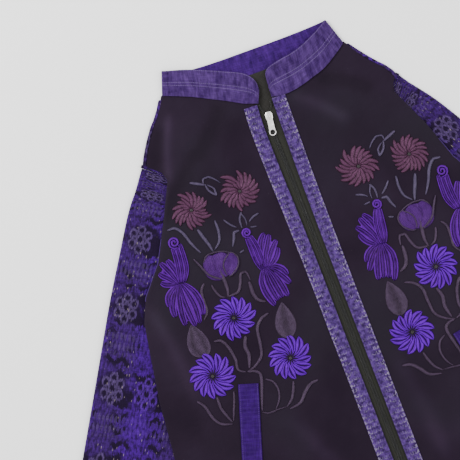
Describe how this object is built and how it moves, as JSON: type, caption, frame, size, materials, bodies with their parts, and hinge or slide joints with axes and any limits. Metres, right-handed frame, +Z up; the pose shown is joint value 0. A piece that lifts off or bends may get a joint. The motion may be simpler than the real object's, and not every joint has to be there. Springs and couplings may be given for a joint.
{
  "type": "embroidered jacket",
  "caption": "Zip-front jacket with a stand collar, laid flat, with patterned sleeves and raised flower and bird embroidery",
  "frame": {"origin": "middle of the laid garment's footprint, on the surface it lies on", "axes": "+X towards the wearer's left sleeve, +Y from the hem to the collar, +Z up from the surface"},
  "size_m": [0.964, 0.7331, 0.0148],
  "materials": {
    "black_cloth": "matte woven cotton",
    "ikat_cloth": "matte patterned handwoven cotton",
    "collar_cloth": "matte patterned cotton, stiffened",
    "band_cloth": "matte checked brocade",
    "welt_cloth": "matte woven cotton",
    "lining_cloth": "matte twill",
    "zip_tape": "matte woven tape",
    "zip_metal": "bright nickel plate",
    "thread_red": "soft satin stitch",
    "thread_violet": "soft satin stitch",
    "thread_bird": "soft satin stitch"
  },
  "bodies": {
    "jacket": {"back": "ikat_cloth", "back_facing": "lining_cloth", "collar": "collar_cloth", "sleeve_right": "ikat_cloth", "sleeve_left": "ikat_cloth", "front_right": "black_cloth", "front_left": "black_cloth", "band_right": "band_cloth", "band_left": "band_cloth", "zip_tape_right": "zip_tape", "zip_tape_left": "zip_tape", "zip_chain": "zip_tape", "zip_box": "zip_metal", "zip_slider": "zip_metal", "pocket_welt_right": "welt_cloth", "pocket_welt_left": "welt_cloth", "flower_red_outer_right": "thread_red", "flower_red_inner_right": "thread_red", "flower_violet_top_right": "thread_violet", "flower_violet_outer_right": "thread_violet", "flower_violet_inner_right": "thread_violet", "bird_inner_right": "thread_bird", "bird_outer_right": "thread_bird", "flower_red_outer_left": "thread_red", "flower_red_inner_left": "thread_red", "flower_violet_top_left": "thread_violet", "flower_violet_outer_left": "thread_violet", "flower_violet_inner_left": "thread_violet", "bird_inner_left": "thread_bird", "bird_outer_left": "thread_bird"},
    "pull": {"zip_pull": "zip_metal"}
  },
  "joints": [
    {"name": "pull_tab", "type": "hinge", "parent": "jacket", "child": "pull", "pos_m": [0.00405, 0.249, 0.01135], "axis": [-0.9925, 0.1219, 0], "range_deg": [0, 160]}
  ]
}
